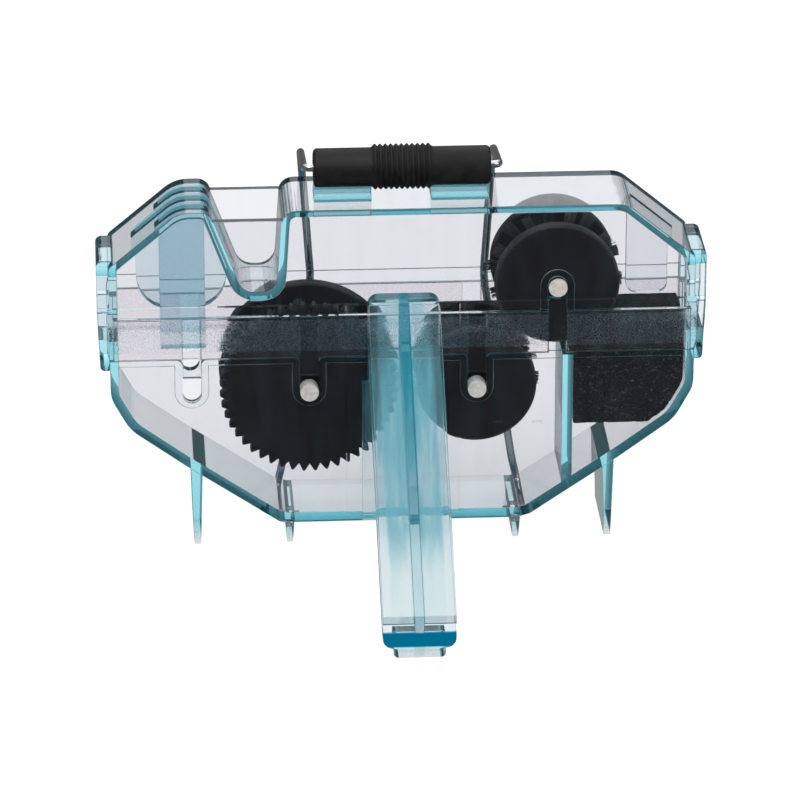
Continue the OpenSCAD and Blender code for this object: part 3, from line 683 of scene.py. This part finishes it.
# Tips lean outwards, stray a little and end unevenly, just inside the CAD solid's radius
TIP_SPREAD = 0.55 * MM
SPREAD_SHARE = (0.4, 1.6)
TIP_STRAY = 0.16 * MM
UNEVEN = 0.5 * MM
TIP_INSET = 0.1 * MM


def make_bristles(wheel, material):
    """A wheel's bristles, as fine strands that end on the radius of its CAD solid."""
    low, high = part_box(f"{wheel}_bristles")
    centre = centre_of(f"{wheel}_axle")
    tip_r = max(high.z - centre.z, centre.z - low.z) - TIP_INSET
    draw = random.Random(wheel)
    bm = bmesh.new()

    def on_sleeve(r, t, a):
        return centre + Vector((r * math.cos(a), t, r * math.sin(a)))
    add_lathe(bm, [(SLEEVE_INNER_R, -SLEEVE_HALF), (SLEEVE_INNER_R, SLEEVE_HALF),
                   (SLEEVE_R, SLEEVE_HALF), (SLEEVE_R, -SLEEVE_HALF)], SLEEVE_SIDES, on_sleeve)
    along = Vector((0, 1, 0))
    for row in (-1, 1):
        for i in range(TUFTS):
            a = FIRST_TUFT + (i + (ROW_STAGGER if row > 0 else 0)) * 2 * math.pi / TUFTS
            out = Vector((math.cos(a), 0, math.sin(a)))
            side = Vector((-math.sin(a), 0, math.cos(a)))
            for k in range(STRANDS):
                r = math.sqrt((k + 0.5) / STRANDS)
                turn = k * GOLDEN_TURN + draw.uniform(-TURN_STRAY, TURN_STRAY)
                spot = r * (math.cos(turn) * side + math.sin(turn) * along)
                root = centre + row * ROW_Y * along + (SLEEVE_R - ROOT_DEPTH) * out + TUFT_R * spot
                lean = TIP_SPREAD * spot * draw.uniform(*SPREAD_SHARE)
                lean += draw.gauss(0, TIP_STRAY) * side + draw.gauss(0, TIP_STRAY) * along
                reach = tip_r - UNEVEN * draw.random() ** 2 - SLEEVE_R + ROOT_DEPTH
                path = [root + reach * t * out + t * t * lean
                        for t in (j / STRAND_STEPS for j in range(STRAND_STEPS + 1))]
                add_tube(bm, path, STRAND_R, STRAND_SIDES)
    piece = new_piece(f"{wheel}_tufts", bm, wheel, material)
    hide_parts(f"{wheel}_bristles")


# Sponge: open-cell foam, whose pits are rounded hollows between ridges, on a slightly wavy block

SPONGE_VOXEL = 0.4 * MM
PORE_SIZE = 0.95 * MM
PORE_DEPTH = 0.42 * MM
PIT_REACH, PIT_ROUNDNESS = 0.62, 0.8
RIDGE_WIDTH = 0.5
FOAM_WAVE = 0.12 * MM
FOAM_WAVE_LENGTH = 4 * PORE_SIZE
FOAM_INSET = 0.5 * FOAM_WAVE


def make_sponge(material):
    """The foam block, pitted all over with open cells."""
    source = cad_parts["sponge"].data
    block = link(bpy.data.objects.new("foam_block", source.copy()))
    remesh = block.modifiers.new("cells", "REMESH")
    remesh.mode = "VOXEL"
    remesh.voxel_size = SPONGE_VOXEL
    solved = block.evaluated_get(bpy.context.evaluated_depsgraph_get())
    made = bpy.data.meshes.new_from_object(solved)
    bpy.data.objects.remove(block)
    bm = bmesh.new()
    bm.from_mesh(made)
    bm.normal_update()
    moves = []
    for v in bm.verts:
        near = noise.voronoi(v.co / PORE_SIZE)[0]
        pit = max(0.0, 1 - near[0] / PIT_REACH) ** PIT_ROUNDNESS
        ridge = min(1.0, (near[1] - near[0]) / RIDGE_WIDTH)
        wave = noise.noise(v.co / FOAM_WAVE_LENGTH) * FOAM_WAVE
        moves.append(v.normal * (-PORE_DEPTH * pit * ridge + min(wave, 0) - FOAM_INSET))
    for v, move in zip(bm.verts, moves):
        v.co += move
    piece = new_piece("sponge_foam", bm, "tank", material)
    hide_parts("sponge")


# Bail: one bent wire, through the roller and down the back to the inner feet. These are the
# points where it bends, on its right half, in millimetres from the body's centre plane

BAIL_BENDS = ((25.3, -7.5, 102.9), (25.3, 15.37, 99.49), (22.86, 15.37, 64.13),
              (30.63, 15.37, 11.85), (32.61, 15.37, 3), (32.61, -4, 3))
BAIL_END = (27, -4, 3)
WIRE_R = 1.03 * MM
WIRE_SIDES = 20
# A bend starts this far from its corner, or at this share of a short straight
BEND_REACH = 2.6 * MM
BEND_SHARE = 0.45
BEND_STEPS = 8


def make_bail(material):
    """The wire, as one smooth tube with rounded bends."""
    def at(p, side):
        return Vector((side * p[0], p[1], p[2])) * MM + Vector((0, BODY_Y, 0))

    def towards(p, other):
        return p + (other - p).normalized() * min(BEND_REACH, BEND_SHARE * (other - p).length)
    half = (*BAIL_BENDS, BAIL_END)
    corners = [at(p, -1) for p in half[::-1]] + [at(p, 1) for p in half]
    path = [corners[0]]
    for a, p, b in zip(corners, corners[1:], corners[2:]):
        start, end = towards(p, a), towards(p, b)
        for k in range(BEND_STEPS + 1):
            t = k / BEND_STEPS
            path.append((1 - t) ** 2 * start + 2 * t * (1 - t) * p + t * t * end)
    path.append(corners[-1])
    bm = bmesh.new()
    add_tube(bm, path, WIRE_R, WIRE_SIDES)
    piece = new_piece("bent_wire", bm, "bail", material)
    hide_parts("bail_wire")


# Grip: a rubber roller with soft ribs round its middle

GRIP_R = 5.05 * MM
GRIP_BORE_R = 1.11 * MM
GRIP_ROUND = 1.1 * MM
GRIP_SIDES = 72
# Steps in each rounded end and in each rib
GRIP_STEPS = 8
GRIP_RIBS = 11
GRIP_RIB_HALF = 7.6 * MM
RIB_R, RIB_DEPTH = 5.62 * MM, 0.3 * MM
RIB_ROUNDNESS = 0.7
RIB_RUNOUT = 0.5 * MM


def make_grip(material):
    """The roller, with rounded ends and ribs as smooth waves."""
    low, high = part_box("bail_grip")
    half = (high.x - low.x) / 2
    centre = centre_of("bail_grip")
    quarter = [math.pi / 2 * k / GRIP_STEPS for k in range(GRIP_STEPS + 1)]
    end = [(GRIP_BORE_R, half)]
    end += [(GRIP_R - GRIP_ROUND * (1 - math.sin(a)), half - GRIP_ROUND * (1 - math.cos(a)))
            for a in quarter]
    end.append((GRIP_R, GRIP_RIB_HALF + RIB_RUNOUT))
    ribs = []
    steps = GRIP_RIBS * GRIP_STEPS
    for k in range(steps + 1):
        wave = 0.5 - 0.5 * math.cos(2 * math.pi * k / GRIP_STEPS)
        ribs.append((RIB_R - RIB_DEPTH + 2 * RIB_DEPTH * wave ** RIB_ROUNDNESS,
                     GRIP_RIB_HALF * (1 - 2 * k / steps)))
    other_end = [(r, -t) for r, t in end[::-1]]

    def on_axis(r, t, a):
        return centre + Vector((t, r * math.cos(a), r * math.sin(a)))
    bm = bmesh.new()
    add_lathe(bm, end + ribs + other_end, GRIP_SIDES, on_axis)
    piece = new_piece("ribbed_grip", bm, "grip", material)
    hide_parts("bail_grip")


def dress_wheels():
    """The wheels' discs, cores, axles and bristles."""
    pin = sawn_metal("pin_metal")
    strands = nylon("bristle_nylon")
    for wheel in WHEELS:
        for piece in ("front_disc", "rear_disc"):
            low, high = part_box(f"{wheel}_{piece}")
            middle, radius = (low + high) / 2, (high.x - low.x) / 2
            wear(f"{wheel}_{piece}", black_plastic(f"{wheel}_{piece}_plastic", middle, radius))
        wear(f"{wheel}_core", black_plastic(f"{wheel}_core_plastic"))
        wear(f"{wheel}_axle", pin)
        make_bristles(wheel, strands)


# Bounces, enough for the many clear walls that stand behind each other
BOUNCES = 40
GLOSSY_BOUNCES = 32
TRANSPARENT_BOUNCES = 24

make_camera()
make_floor()
make_surround()
make_lamps()
wear("lower_housing",
     clear_plastic("clear_plastic", HOUSING_TINT, HOUSING_CROSSED, HOUSING_TURNED))
wear("upper_housing",
     clear_plastic("clear_plastic_frosted_band", HOUSING_TINT, HOUSING_CROSSED, HOUSING_TURNED,
                   details=(add_frost, add_guides)))
wear("handle",
     clear_plastic("handle_plastic", HANDLE_TINT, HANDLE_CROSSED, HANDLE_TURNED, HANDLE_HAZE,
                   HANDLE_HAZE_COLOUR, HANDLE_WAVE, details=(add_beam,)))
dress_wheels()
make_sponge(foam("foam"))
make_grip(rubber("grip_rubber"))
make_bail(bright_wire("bright_wire"))

scene = bpy.context.scene
scene.view_settings.view_transform = "Standard"
scene.cycles.max_bounces = BOUNCES
scene.cycles.transmission_bounces = BOUNCES
scene.cycles.glossy_bounces = GLOSSY_BOUNCES
scene.cycles.transparent_max_bounces = TRANSPARENT_BOUNCES
